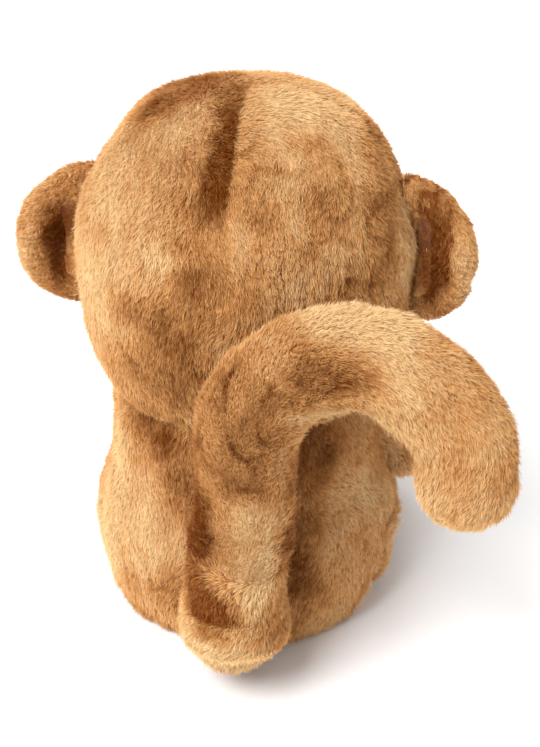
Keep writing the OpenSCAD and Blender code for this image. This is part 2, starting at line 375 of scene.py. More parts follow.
def strands(name, layers, body, material, bare=None, closer=1.0, shorter=1.0, seed=1):
    """Fine curves on napped grids: each root is a random point of a random face, chosen by the faces' areas.

    A strand rises along the normal, bends over along the nap by a patchy lean and draws in towards its tuft."""
    pile = bpy.context.scene.plush_pile
    rng = np.random.default_rng(seed)
    roots, ups, ways, painted_shades = [], [], [], []
    for (outer, normals, nap, painted_shade), around in layers:
        fields = np.concatenate([outer, normals, nap, painted_shade[..., None]], axis=-1)
        if around:
            fields = np.concatenate([fields, fields[:1]])
        a, b = fields[:-1, :-1], fields[1:, :-1]
        c, d = fields[1:, 1:], fields[:-1, 1:]
        area = 0.5 * np.linalg.norm(np.cross((c - a)[..., :3], (d - b)[..., :3]), axis=-1).ravel()
        count = int(area.sum() * pile.density * closer)
        pick = rng.choice(area.size, count, p=area / area.sum())
        s, t = rng.random((2, count, 1))
        a, b, c, d = (x.reshape(-1, fields.shape[-1])[pick] for x in (a, b, c, d))
        at = (a * (1 - s) + b * s) * (1 - t) + (d * (1 - s) + c * s) * t
        roots.append(at[:, :3])
        ups.append(unit(at[:, 3:6]))
        ways.append(at[:, 6:9])
        painted_shades.append(at[:, 9])
    root, up = np.concatenate(roots), np.concatenate(ups)
    way, painted_shade = np.concatenate(ways), np.concatenate(painted_shades)
    if bare is not None:
        keep = ~bare(root)
        root, up, way, painted_shade = root[keep], up[keep], way[keep], painted_shade[keep]
    count = len(root)
    way = unit(way - dot(way, up)[:, None] * up + 0.26 * rng.normal(size=(count, 3)))
    # Where the painted shade is darker the strands stand a little more upright
    lean = pile.lean + 0.24 * cloud(root, 24, seed + 40) + 0.2 * (painted_shade - 0.5)
    lean = np.clip(lean + 0.1 * rng.normal(size=count), 0.12, 0.96)[:, None]
    length = pile.length / MM * shorter * (0.72 + 0.4 * rng.random(count))
    length = (length * (1 + 0.16 * cloud(root, 7, seed + 41)))[:, None]
    pull = nearest_tuft(root / pile.tuft * MM) * pile.tuft / MM
    pull = pull - dot(pull, up)[:, None] * up
    pull = pull - 0.6 * dot(pull, way)[:, None] * way
    points = np.empty((count, 4, 3))
    for k, s in enumerate((0.0, 0.34, 0.68, 1.0)):
        rise = up * (1 - lean) * (1.05 * s - 0.2 * s * s)
        bend = way * lean * (0.5 * s + 0.5 * s * s)
        points[:, k] = root + length * (rise + bend) + pull * pile.clump * s * s
    data = bpy.data.hair_curves.new(name)
    data.add_curves([4] * count)
    data.position_data.foreach_set("vector", (points * MM).astype(np.float32).ravel())
    radius = data.attributes.get("radius") or data.attributes.new("radius", "FLOAT", "POINT")
    taper = pile.thickness * np.array([0.5, 0.5, 0.4, 0.14])
    radius.data.foreach_set("value", np.tile(taper, count).astype(np.float32))
    # Each strand carries the painted light and shade as its nap attribute
    data.attributes.new("nap", "FLOAT", "CURVE").data.foreach_set("value", painted_shade.astype(np.float32))
    data.materials.append(material)
    hair = bpy.data.objects.new(name, data)
    bpy.context.scene.collection.objects.link(hair)
    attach(hair, body)
    return hair


# Materials


def new_material(name):
    """An empty node material with a Principled shader on its output."""
    material = bpy.data.materials.new(name)
    material.use_nodes = True
    tree = material.node_tree
    tree.nodes.clear()
    shader = tree.nodes.new("ShaderNodeBsdfPrincipled")
    output = tree.nodes.new("ShaderNodeOutputMaterial")
    tree.links.new(shader.outputs["BSDF"], output.inputs["Surface"])
    return material, tree, shader


def wire(tree, kind, inputs=None, **settings):
    """A node with its settings, and its inputs set to values or linked to sockets."""
    node = tree.nodes.new(kind)
    for key, value in settings.items():
        setattr(node, key, value)
    for key, value in (inputs or {}).items():
        if isinstance(value, bpy.types.NodeSocket):
            tree.links.new(value, node.inputs[key])
        else:
            node.inputs[key].default_value = value
    return node


def ramp(tree, factor, stops):
    """A colour ramp with its stops as (place, colour)."""
    node = wire(tree, "ShaderNodeValToRGB", {"Fac": factor})
    band = node.color_ramp
    while len(band.elements) < len(stops):
        band.elements.new(0.5)
    for element, (place, colour) in zip(band.elements, stops):
        element.position = place
        element.color = (*colour, 1)
    return node.outputs["Color"]


def noise(tree, size, detail=2.0, stretch=None, **inputs):
    """Noise on Object coordinates whose patches are about size metres, or stretched by a factor along each axis."""
    place = tree.nodes.new("ShaderNodeTexCoord").outputs["Object"]
    if stretch:
        place = wire(tree, "ShaderNodeMapping", {"Vector": place, "Scale": stretch}).outputs["Vector"]
    node = wire(tree, "ShaderNodeTexNoise", {"Vector": place, "Scale": 1 / size, "Detail": detail, **inputs})
    return node.outputs["Fac"]


def mixed(tree, kind, factor, a, b):
    node = wire(tree, "ShaderNodeMix", data_type="RGBA", blend_type=kind)
    for socket, value in ((node.inputs[0], factor), (node.inputs[6], a), (node.inputs[7], b)):
        if isinstance(value, bpy.types.NodeSocket):
            tree.links.new(value, socket)
        elif socket.type == "RGBA" and not isinstance(value, (int, float)):
            socket.default_value = (*value, 1)
        else:
            socket.default_value = value
    return node.outputs[2]


def shades_of(colours):
    """Three stops, dark, middle and light, for the painted light and shade of the nap: the dark stop is painted shade,
    the light stop painted light.
    """
    return [(0.0, tuple(colours[0])), (0.5, tuple(colours[1])), (1.0, tuple(colours[2]))]


def fur_backing(name, colours):
    """The pile seen as a surface: the painted light and shade of the nap, streaks of separate locks, painted shade in
    darker partings and a fine bump.
    """
    material, tree, shader = new_material(name)
    # The nap attribute holds the painted light and shade
    nap = wire(tree, "ShaderNodeAttribute", attribute_name="nap").outputs["Fac"]
    locks = noise(tree, 0.0016, 3.0, Distortion=0.6)
    fibres = noise(tree, 0.0005, 2.0, stretch=(1, 1, 0.35))
    level = wire(tree, "ShaderNodeMath", {0: locks, 1: 0.34, 2: nap}, operation="MULTIPLY_ADD")
    level = wire(tree, "ShaderNodeMath", {0: fibres, 1: 0.26, 2: level.outputs[0]}, operation="MULTIPLY_ADD")
    level = wire(tree, "ShaderNodeMath", {0: level.outputs[0], 1: 0.3}, operation="SUBTRACT")
    colour = ramp(tree, level.outputs[0], shades_of(colours))
    # Painted shade: darker partings in the gaps between the locks
    painted_parting_shade = ramp(tree, locks, [(0.3, (0.62, 0.56, 0.5)), (0.52, (1, 1, 1))])
    tree.links.new(mixed(tree, "MULTIPLY", 0.55, colour, painted_parting_shade), shader.inputs["Base Color"])
    bump = wire(tree, "ShaderNodeBump", {"Height": fibres, "Strength": 0.45, "Distance": 0.0006})
    bump = wire(
        tree, "ShaderNodeBump",
        {"Height": locks, "Strength": 0.7, "Distance": 0.0014, "Normal": bump.outputs["Normal"]},
    )
    tree.links.new(bump.outputs["Normal"], shader.inputs["Normal"])
    shader.inputs["Roughness"].default_value = 0.92
    shader.inputs["Sheen Weight"].default_value = 0.35
    shader.inputs["Sheen Roughness"].default_value = 0.55
    shader.inputs["Sheen Tint"].default_value = (1.0, 0.86, 0.68, 1)
    shader.inputs["Specular IOR Level"].default_value = 0.15
    return material


def fur_strands(name, colours):
    """The pile's strands: darker at the root with painted shade deep in the pile, lighter at the tip, each a little
    different, over the painted light and shade of the nap.
    """
    material, tree, shader = new_material(name)
    # The nap attribute holds the painted light and shade
    nap = wire(tree, "ShaderNodeAttribute", attribute_name="nap").outputs["Fac"]
    strand = tree.nodes.new("ShaderNodeHairInfo")
    locks = noise(tree, 0.003, 2.0)
    level = wire(tree, "ShaderNodeMath", {0: strand.outputs["Random"], 1: 0.24, 2: nap}, operation="MULTIPLY_ADD")
    level = wire(tree, "ShaderNodeMath", {0: locks, 1: 0.6, 2: level.outputs[0]}, operation="MULTIPLY_ADD")
    level = wire(tree, "ShaderNodeMath", {0: level.outputs[0], 1: 0.42}, operation="SUBTRACT")
    colour = ramp(tree, level.outputs[0], shades_of(colours))
    # Painted shade: the strands darken towards the root, deep in the pile
    root = ramp(tree, strand.outputs["Intercept"], [(0.0, (0.46, 0.3, 0.16)), (0.7, (1, 1, 1))])
    tree.links.new(mixed(tree, "MULTIPLY", 1.0, colour, root), shader.inputs["Base Color"])
    shader.inputs["Roughness"].default_value = 0.55
    shader.inputs["Specular IOR Level"].default_value = 0.14
    return material


def plain_finish(name, stops, size, roughness, bump=0.0, **constants):
    """A finish with a cloudy colour between two tones and a faint bump of the same grain."""
    material, tree, shader = new_material(name)
    grain = noise(tree, size, 3.0)
    tree.links.new(ramp(tree, grain, [(0.3, stops[0]), (0.7, stops[1])]), shader.inputs["Base Color"])
    shader.inputs["Roughness"].default_value = roughness
    if bump:
        node = wire(tree, "ShaderNodeBump", {"Height": grain, "Strength": 0.6, "Distance": bump})
        tree.links.new(node.outputs["Normal"], shader.inputs["Normal"])
    for socket, value in constants.items():
        shader.inputs[socket.replace("_", " ")].default_value = value
    return material


def twisted_thread(name):
    """Dark embroidery thread with the diagonal bands of its twist."""
    material, tree, shader = new_material(name)
    place = tree.nodes.new("ShaderNodeTexCoord").outputs["Object"]
    bands = wire(
        tree, "ShaderNodeTexWave",
        {"Vector": place, "Scale": 420.0, "Distortion": 1.2, "Detail": 1.0}, bands_direction="DIAGONAL",
    )
    colour = ramp(tree, bands.outputs["Fac"], [(0.2, (0.012, 0.007, 0.004)), (0.8, (0.07, 0.042, 0.026))])
    tree.links.new(colour, shader.inputs["Base Color"])
    bump = wire(tree, "ShaderNodeBump", {"Height": bands.outputs["Fac"], "Strength": 0.8, "Distance": 0.0003})
    tree.links.new(bump.outputs["Normal"], shader.inputs["Normal"])
    shader.inputs["Roughness"].default_value = 0.6
    return material


def kept_material(name, make, *values):
    return bpy.data.materials.get(name) or make(name, *values)


def tan_colours():
    s = bpy.context.scene.plush_colours
    return s.fur_painted_shade, s.fur_middle, s.fur_painted_light


def pale_colours():
    s = bpy.context.scene.plush_colours
    return s.pale_painted_shade, s.pale_middle, s.pale_painted_light


def fur_pair(kind):
    """The backing and strand materials of the tan or the pale pile."""
    colours = tan_colours() if kind == "fur" else pale_colours()
    words = "Tan" if kind == "fur" else "Pale"
    return (
        kept_material(f"{words}PileBacking", fur_backing, colours),
        kept_material(f"{words}PileStrands", fur_strands, colours),
    )


def stands_for(piece, body, nodes, blend=None):
    """Gives a padded piece its body, or, where a blend is given, bakes its place into its mesh; and hides the nodes
    that it stands for.
    """
    if blend:
        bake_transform(piece)
    else:
        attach(piece, body)
    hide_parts(*nodes)
    return piece


def sewn(name, layer, inner, around, poles, body, nodes, kind="fur", blend=None):
    """A cover: the shell between a napped grid and its inner grid, with the backing of its kind of pile."""
    # The cover carries the painted light and shade as its nap attribute
    piece = shell(name, layer[0], inner, around, poles, {"nap": layer[3]})
    piece.data.materials.append(fur_pair(kind)[0])
    return stands_for(piece, body, nodes, blend)


def wad(name, outer, body, nodes, blend=None):
    """A packed wad of filling: the part's own form inside its cloth, pushed about by lumps."""
    middle = outer.reshape(-1, 3).mean(axis=0)
    out = unit(outer - middle)
    lumpy = outer + out * (0.8 * cloud(outer, 14, 61) + 0.4 * cloud(outer, 5, 62) - 0.9)[..., None]
    lumpy[:, 0] = lumpy[:, 0].mean(axis=0)
    lumpy[:, -1] = lumpy[:, -1].mean(axis=0)
    piece = closed_skin(name, lumpy)
    piece.data.materials.append(
        kept_material("FibreFilling", plain_finish, ((0.78, 0.78, 0.76), (0.93, 0.93, 0.91)), 0.004, 0.95, 0.002)
    )
    return stands_for(piece, body, nodes, blend)


# Head


def inside_head(points, margin):
    skull = np.linalg.norm(points - SKULL[0], axis=-1) < SKULL[1] - margin
    return skull | (np.linalg.norm(points - CHEEKS[0], axis=-1) < CHEEKS[1] - margin)


def head_reach(start, way):
    """How far a ray from inside the head goes: to the skull or the cheeks, whichever is farther, joined softly."""
    return soft_max(ball_exit(start, way, SKULL), ball_exit(start, way, CHEEKS), 3.0)


def head_point(way, inset):
    return HEAD_MIDDLE + way * (head_reach(HEAD_MIDDLE, way) - inset)[..., None]


def last_angle(point_at, allowed, low, high):
    """The largest angle up to high whose point is allowed, found by halving the range on whole arrays."""
    a, b = np.full(high.shape, low, float), high.copy()
    free = allowed(point_at(high))
    for _ in range(22):
        middle = (a + b) / 2
        ok = allowed(point_at(middle))
        a, b = np.where(ok, middle, a), np.where(ok, b, middle)
    return np.where(free, high, a)


def clear_of_chest(points):
    return np.linalg.norm(points - CHEST[0], axis=-1) > CHEST[1] + NECK_PLAY


def from_top(turn, angle, side):
    """Directions by angle down from straight up, and turn round from straight back to one side."""
    s = np.sin(angle)
    return np.stack([side * s * np.sin(turn), s * np.cos(turn), np.cos(angle)], axis=-1)


def from_front(turn, angle):
    """Directions by angle away from straight forwards, and turn round that line."""
    s = np.sin(angle)
    return np.stack([s * np.cos(turn), -np.cos(angle), s * np.sin(turn)], axis=-1)


def head_back_grid(side, inset):
    """A quarter of the head: u from the back seam to the cross seam, v from the crown down to the neck."""
    u, v = grid(118, 170)
    turn = u * math.pi / 2
    limit = last_angle(
        lambda angle: head_point(from_top(turn[:, 0], angle, side), 0), clear_of_chest, 1.0,
        np.full(turn.shape[0], math.pi),
    )
    return head_point(from_top(turn, v * limit[:, None], side), inset)


def face_angle(turn):
    """The angle from straight forwards at which the head's surface is the face panel's radius from its line."""
    angle = np.full(turn.shape, 0.7)
    for _ in range(8):
        angle = np.arcsin(FACE_RADIUS / head_reach(HEAD_MIDDLE, from_front(turn, angle)))
    return angle


def head_front_grid(inset):
    """The ring between the face panel and the cross seam or the neck: u round it, v outwards."""
    u, v = grid(300, 86, around=True)
    turn = u * TAU
    low = face_angle(turn[:, 0])
    high = last_angle(
        lambda angle: head_point(from_front(turn[:, 0], angle), 0), clear_of_chest, 0.72,
        np.full(turn.shape[0], math.pi / 2),
    )
    angle = low[:, None] + v * (high - low)[:, None]
    return head_point(from_front(turn, angle), inset)


def face_patch_grid(inset):
    u, v = grid(220, 60, around=True)
    turn = u * TAU
    return head_point(from_front(turn, v * face_angle(turn[:, 0])[:, None]), inset)


def muzzle_grid(inset, rings=70):
    """The part of the muzzle's ball that stands out of the head: u round it, v from its front to the head."""
    u, v = grid(180, rings, around=True)
    turn = u * TAU

    def at(angle):
        return MUZZLE[0] + MUZZLE[1] * from_front(turn[:, 0], angle)

    limit = last_angle(at, lambda p: ~inside_head(p, -0.4), 0.2, np.full(turn.shape[0], 2.2))
    return MUZZLE[0] + (MUZZLE[1] - inset) * from_front(turn, v * limit[:, None])


def eye_place(side):
    yaw, pitch = math.radians(17), math.radians(8)
    way = (side * math.sin(yaw) * math.cos(pitch), -math.cos(yaw) * math.cos(pitch), math.sin(pitch))
    return SKULL[0] + (SKULL[1] - 1) * np.array(way)


def nose_place():
    pitch = math.radians(24)
    return MUZZLE[0] + (MUZZLE[1] - 1) * np.array([0, -math.cos(pitch), math.sin(pitch)])


def near(points, place, radius):
    return np.linalg.norm(points - place, axis=-1) < radius


# Painted shade: a dark strip beside the back seam, on the left back panel only
SEAM_PAINTED_SHADE = [
    ((4, 14, 275), (8, 24, 12), -0.36),
    ((4, 40, 264), (9, 18, 16), -0.5),
    ((6, 60, 248), (9, 18, 14), -0.34),
]
# Painted light and shade on the head: negative strengths are painted shade, positive ones painted light
HEAD_PAINTED_LIGHT_AND_SHADE = [
    ((38, 10, 270), (8, 9, 8), -0.2),
    ((26, 26, 268), (16, 18, 12), 0.18),
    ((12, 68, 226), (15, 20, 22), -0.24),
    ((8, 77, 200), (20, 20, 22), -0.26),
    ((26, 72, 176), (22, 20, 20), -0.16),
    ((24, 72, 156), (34, 20, 14), -0.24),
    ((60, 24, 244), (16, 30, 24), 0.2),
    ((66, 46, 204), (14, 24, 34), 0.18),
    ((32, 68, 220), (13, 16, 5), 0.2),
    ((-26, 16, 274), (26, 20, 14), 0.24),
    ((-22, 46, 258), (16, 18, 14), 0.26),
    ((-52, 24, 254), (14, 16, 14), 0.2),
    ((-44, 51, 238), (13, 16, 13), -0.26),
    ((-68, 32, 226), (9, 18, 22), -0.3),
    ((-60, 53, 198), (14, 18, 16), -0.2),
    ((-80, 12, 212), (7, 26, 34), 0.34),
    ((-34, 68, 214), (18, 18, 14), 0.1),
    ((-28, 74, 182), (22, 20, 18), 0.08),
]
HEAD_SWELLS = [
    ((44, -4, 266), (30, 40, 24), 3.0),
    ((-46, -4, 264), (30, 40, 24), 3.0),
    ((-82, 0, 226), (20, 50, 22), -2.6),
    ((76, 0, 150), (24, 50, 26), 2.0),
]
# Ruffled places: the nap swirls more, and the painted shade of the partings is stronger
RUFFLES = [
    ((-26, 30, 268), (30, 34, 26), 1.0),
    ((-56, 50, 226), (20, 26, 22), 0.7),
]


def head_layer(outer, around, poles, marks=(), seed=736, **options):
    """The head's nap, swollen where the filling pushes the crown out, with a back seam that the pile hides low down."""
    outer = outer + unit(outer - HEAD_MIDDLE) * dabs(outer, HEAD_SWELLS)[..., None]
    flow = np.array([0.0, 0.25, -1.0])
    hidden = np.exp(-((outer[..., 0] / 8) ** 2)) * (outer[..., 1] > 0) * (1 - smooth_step(outer[..., 2], 222, 262))
    options.setdefault("dip", 1.6 * (1 - 0.85 * hidden))
    return napped(outer, around, poles, HEAD_MIDDLE, flow, marks, seed, ruffles=RUFFLES, **options)


# Ears


def ear_grid(side, inset, low, high, rings):
    """A puffy flap in its own frame, X out of the head, Y up and Z forwards: u round its outline, v from low to high.

    The outline is a disc hollowed out where the skull's ball lies beside it. Outline and thickness follow a
    rounded-square section, and the back is dished between its thick rim and the head."""
    u, v = grid(170, rings, around=True)
    turn = u * TAU
    core = 5.0
    off = core - EAR_DISC_X
    disc = -off * np.cos(turn) + np.sqrt((off * np.cos(turn)) ** 2 - off**2 + (EAR_RADIUS - inset) ** 2)
    out = np.array([math.cos(EAR_SWEEP), math.sin(EAR_SWEEP), 0])
    way = np.cos(turn)[..., None] * out + np.sin(turn)[..., None] * np.array([0, 0, 1.0])
    edge = ball_entry(EAR_HINGE + core * out, way, (SKULL[0], SKULL[1] + 1.5 + inset))
    outline = -soft_max(-disc, -edge, 8.0)
    angle = low + (high - low) * v
    share = np.maximum(np.cos(angle), 0) ** 0.86
    x = core + outline * share * np.cos(turn)
    y = outline * share * np.sin(turn)
    rise = np.sign(np.sin(angle)) * np.abs(np.sin(angle)) ** 0.8
    back = 11.5 * np.exp(-(((x + 4) / 13) ** 2) - (y / 22) ** 2) * np.clip(-rise, 0, 1)
    front = 3.0 * np.exp(-(((x - 6) / 16) ** 2) - (y / 20) ** 2) * np.clip(rise, 0, 1)
    z = (EAR_HALF - inset) * rise + back - front
    forwards = np.array([math.sin(EAR_SWEEP), -math.cos(EAR_SWEEP), 0])
    points = EAR_HINGE + x[..., None] * out + y[..., None] * np.array([0, 0, 1.0]) + z[..., None] * forwards
    return points * np.array([side, 1, 1])


EAR_BACK_SPAN = (-math.pi / 2, 0.62)
EAR_FRONT_SPAN = (0.62, math.pi / 2)


# Torso


def bar_entry(start, way, bar, radius):
    """Distance along each way to a round bar: steps as long as the gap that is left, till it closes."""
    reach = np.zeros(way.shape[:-1])
    for _ in range(40):
        step = bar_distance(start + reach[..., None] * way, bar) - radius
        reach = np.minimum(reach + step, 400)
    return reach


def ball_entry(start, way, ball):
    """Distance along each way from outside a ball to its surface, or a very long way where it is missed."""
    offset = start - ball[0]
    b = way @ offset
    inside = b * b - offset @ offset + ball[1] ** 2
    hit = (inside > 0) & (b < 0)
    return np.where(hit, -b - np.sqrt(np.maximum(inside, 0)), 400)


def torso_point(way, inset):
    """A ray from the torso's middle to the chest or belly ball, stopped short where a limb lies against it."""
    reach = soft_max(ball_exit(TORSO_MIDDLE, way, CHEST), ball_exit(TORSO_MIDDLE, way, BELLY), 4.0)
    for bar, radius in (
        (LEFT_LEG, LEG_RADIUS), (RIGHT_LEG, LEG_RADIUS), (LEFT_ARM, ARM_RADIUS), (RIGHT_ARM, ARM_RADIUS),
    ):
        reach = np.minimum(reach, bar_entry(TORSO_MIDDLE, way, bar, radius + SOFT_GAP))
    ceiling = (ROOM_HEIGHT - TORSO_MIDDLE[2]) / np.minimum(way[..., 2], -1e-3)
    under = TORSO_MIDDLE + way * ceiling[..., None]
    room = (way[..., 2] < 0) & (np.abs(under[..., 0]) > LEFT_LEG[0][0]) & (under[..., 1] < 18)
    reach = np.minimum(reach, np.where(room, ceiling, 400))
    return TORSO_MIDDLE + way * (reach - inset)[..., None]


TORSO_TOP_ANGLE = math.radians(34)


def torso_grid(way_at, count, inset):
    """A panel from under the head down to the flat base: u round the torso, v downwards."""
    u, v = grid(count, 150)
    base = last_angle(
        lambda angle: torso_point(way_at(u[:, 0], angle), 0), lambda p: p[..., 2] > 0.6, 1.6,
        np.full(count, math.pi),
    )
    angle = TORSO_TOP_ANGLE + v * (base[:, None] - TORSO_TOP_ANGLE)
    return torso_point(way_at(u, angle), inset)


def torso_back_way(side):
    return lambda u, angle: from_top(u * math.pi / 2, angle, side)


def belly_way(u, angle):
    s = np.sin(angle)
    return np.stack([s * np.cos(u * math.pi), -s * np.sin(u * math.pi), np.cos(angle)], axis=-1)


def hidden_on_torso(points):
    hidden = inside_head(points, 3) | (points[..., 2] < 1.5)
    for bar, radius in (
        (LEFT_LEG, LEG_RADIUS), (RIGHT_LEG, LEG_RADIUS), (LEFT_ARM, ARM_RADIUS), (RIGHT_ARM, ARM_RADIUS),
    ):
        hidden |= bar_distance(points, bar) < radius + 3
    return hidden


def inside_torso(points, margin=1.0):
    chest = np.linalg.norm(points - CHEST[0], axis=-1) < CHEST[1] - margin
    return chest | (np.linalg.norm(points - BELLY[0], axis=-1) < BELLY[1] - margin)


def base_grid(height, inset):
    """The base's disc, cut in where the legs stand beside it: u round it, v outwards."""
    u, v = grid(200, 60, around=True)
    turn = u * TAU
    start = np.array([0, -2.0, 1.5])
    way = np.stack([np.cos(turn[:, 0]), np.sin(turn[:, 0]), 0 * turn[:, 0]], axis=-1)
    reach = np.full(len(way), 67.2)
    for leg in (LEFT_LEG, RIGHT_LEG):
        reach = np.minimum(reach, bar_entry(start, way, leg, LEG_RADIUS + 0.5))
    points = start + way[:, None] * (v * (reach - inset)[:, None])[..., None]
    points[..., 2] = height
    return points


# Painted light and shade on the torso, with painted shade beside the tail's stem: negative strengths are painted shade,
# positive ones painted light
TORSO_PAINTED_LIGHT_AND_SHADE = [
    ((42, 44, 116), (22, 20, 12), -0.34),
    ((22, 61, 108), (22, 24, 16), -0.34),
    ((20, 64, 86), (15, 20, 14), -0.36),
    ((66, 28, 90), (13, 30, 26), 0.3),
    ((68, 30, 50), (18, 30, 34), 0.34),
    ((46, 60, 60), (12, 22, 24), 0.24),
    ((26, 71, 38), (10, 20, 18), -0.12),
    ((-38, 52, 108), (15, 26, 18), -0.36),
    ((-36, 60, 74), (13, 24, 20), -0.3),
    ((-36, 66, 46), (11, 20, 14), -0.2),
    ((-68, 24, 76), (10, 24, 20), 0.2),
    ((-62, 44, 40), (20, 26, 22), 0.22),
    ((-75, 16, 56), (8, 24, 24), 0.2),
]


# Limbs


def bar_grid(bar, section, low, high, rings, around, inset=0.0, crowd=(True, True)):
    """A round form on a line: u round it, v along it from low to high, with a radius that section gives.

    Rings crowd together at an end that closes to a point."""
    a, b = bar
    axis = unit(b - a)
    side = unit(np.cross(axis, np.array([0.0, 0.0, 1.0])))
    lift = np.cross(side, axis)
    u, v = grid(around, rings, around=True)
    if all(crowd):
        v = (1 - np.cos(v * math.pi)) / 2
    elif crowd[0]:
        v = 1 - np.cos(v * math.pi / 2)
    elif crowd[1]:
        v = np.sin(v * math.pi / 2)
    x = low + inset * crowd[0] + v * (high - low - inset * (crowd[0] + crowd[1]))
    radius = np.maximum(section(x) - inset, 0)
    if crowd[0]:
        radius[:, 0] = 0
    if crowd[1]:
        radius[:, -1] = 0
    turn = u * TAU
    ring = np.cos(turn)[..., None] * side + np.sin(turn)[..., None] * lift
    return a + x[..., None] * axis + radius[..., None] * ring


def arm_section(length):
    def section(x):
        over = np.maximum(np.maximum(-x, x - length), 0)
        wrist = 1.2 * np.exp(-(((x - 0.62 * length) / 9) ** 2))
        return np.sqrt(np.maximum(ARM_RADIUS**2 - over**2, 0)) - wrist

    return section


def leg_section(length):
    def section(x):
        bar = np.where(x < 0, np.sqrt(np.maximum(LEG_RADIUS**2 - np.minimum(x, 0) ** 2, 0)), LEG_RADIUS)
        bar = np.where(x > length, 0, bar)
        foot = np.sqrt(np.maximum(FOOT_RADIUS**2 - (x - length) ** 2, 0))
        return np.maximum(bar, foot) + 1.2 * np.exp(-(((x - length + 15) / 7) ** 2))

    return section


def bar_length(bar):
    return float(np.linalg.norm(bar[1] - bar[0]))


def bar_middle(bar, points):
    """The point of a bar's line beside each point, which the outward side is told from."""
    a, b = bar
    t = np.clip((points - a) @ (b - a) / ((b - a) @ (b - a)), 0.02, 0.98)
    return a + t[..., None] * (b - a)


# Tail


def tail_line(count):
    """The tail's middle line at even steps: up the stem, over the half circle of the hook and down to its tip."""
    stem = np.linspace(STEM_FOOT, STEM_TOP, 60)
    rise = np.linspace(STEM_TOP, [STEM_TOP[0], STEM_TOP[1], HOOK_MIDDLE[2]], 20)[1:]
    turn = np.linspace(0, math.pi, 120)[1:, None]
    sweep = HOOK_RADIUS - 4.5 * np.exp(-(((turn - 2.25) / 0.5) ** 2))
    arch = HOOK_MIDDLE + sweep * (np.cos(turn) * [1, 0, 0] + np.sin(turn) * [0, 0, 1.0])
    tip = np.linspace(arch[-1], arch[-1] - [0, 0, TIP_LENGTH], 10)[1:]
    line = np.concatenate([stem, rise, arch, tip])
    run = np.concatenate([[0], np.cumsum(np.linalg.norm(np.diff(line, axis=0), axis=1))])
    at = np.linspace(0, run[-1], count)
    even = np.stack([np.interp(at, run, line[:, k]) for k in range(3)], axis=-1)
    soft = even.copy()
    for _ in range(6):
        soft[1:-1] = (soft[:-2] + 2 * soft[1:-1] + soft[2:]) / 4
    return soft


def tail_grid(inset, lumps=True):
    """A tube along the tail's line, nearly flat at its foot and round at its tip: u round it, v along it."""
    body = 224
    line = tail_line(body)
    tangent = unit(np.gradient(line, axis=0))
    across = np.array([0.0, 1.0, 0.0])
    outwards = unit(np.cross(across, tangent))
    full = TAIL_RADIUS - inset
    foot = np.linspace(0.02, 1, 14)
    cap = np.linspace(0.04, math.pi / 2, 22)
    centre = np.concatenate([
        np.repeat(line[:1], 14, axis=0) + [0, 0, inset],
        line[1:],
        line[-1] + np.sin(cap)[:, None] * full * tangent[-1],
    ])
    radius = np.concatenate([foot * full, np.full(body - 1, full), np.cos(cap) * full])
    radius[0] = radius[-1] = 0
    outwards = np.concatenate([np.repeat(outwards[:1], 13, axis=0), outwards, np.repeat(outwards[-1:], 22, axis=0)])
    turn = grid(136, len(centre), around=True)[0] * TAU
    ring = np.cos(turn)[..., None] * outwards + np.sin(turn)[..., None] * across
    points = centre + radius[:, None] * ring
    if lumps:
        points = points + 0.9 * ring * cloud(centre + 20 * ring, 32, 8)[..., None] * (radius > 8)[:, None]
    return points, np.broadcast_to(centre, points.shape)


# The bend's blend runs up and outwards, so that the hook's tip, which hangs as low, lies beyond its end
BEND_REACH = 14.0 * unit(np.array([0.5, 0, -1.0]))
TAIL_BEND = (STEM_TOP + BEND_REACH, STEM_TOP - BEND_REACH)


def bend_share(points):
    """How far along the bend each point is, from 0 on the stem to 1 on the hook."""
    low, high = TAIL_BEND
    return np.clip((points - low) @ (high - low) / ((high - low) @ (high - low)), 0, 1)


def off_stem_axis(points):
    return np.linalg.norm(points[..., :2] - STEM_FOOT[:2], axis=-1)


ROOT_MIDDLE = np.array([-6.0, 94.0, 34.0])
ROOT_BAR = (np.array([-3.0, 58.0, 28.0]), np.array([-6.0, 94.0, 35.5]))


def root_point(way, inset):
    """A ray from inside the root to its lying bar or its upright collar, kept off the belly and under the stem."""
    bar = np.zeros(way.shape[:-1])
    for _ in range(40):
        bar += ROOT_RADIUS - bar_distance(ROOT_MIDDLE + bar[..., None] * way, ROOT_BAR)
    flat = way[..., :2]
    offset = ROOT_MIDDLE[:2] - STEM_FOOT[:2]
    a = np.maximum(dot(flat, flat), 1e-9)
    b = flat @ offset
    side = (-b + np.sqrt(b * b - a * (offset @ offset - TAIL_RADIUS**2))) / a
    top = (STEM_FOOT[2] - 0.6 - ROOT_MIDDLE[2]) / np.maximum(way[..., 2], 1e-3)
    collar = np.where(way[..., 2] > 0, np.minimum(side, top), 0)
    reach = soft_max(bar, collar, 5.0)
    reach = np.minimum(reach, np.where(way[..., 2] > 0, top, 400))
    reach = np.minimum(reach, ball_entry(ROOT_MIDDLE, way, (BELLY[0], BELLY[1] + 0.4)))
    return ROOT_MIDDLE + way * (reach - inset)[..., None]


def all_round(count, rings):
    """Directions over a whole ball, from straight down to straight up."""
    u, v = grid(count, rings, around=True)
    angle = math.pi * (1 - v)
    s = np.sin(angle)
    return np.stack([s * np.cos(u * TAU), s * np.sin(u * TAU), np.cos(angle)], axis=-1)


# Painted light and shade on the tail's root: painted shade at the whorl and low down, painted light on the collar
ROOT_PAINTED_LIGHT_AND_SHADE = [
    ((2, 118, 50), (10, 16, 5), -0.4),
    ((-6, 112, 34), (26, 24, 12), 0.34),
    ((-6, 100, 14), (30, 30, 7), -0.2),
]
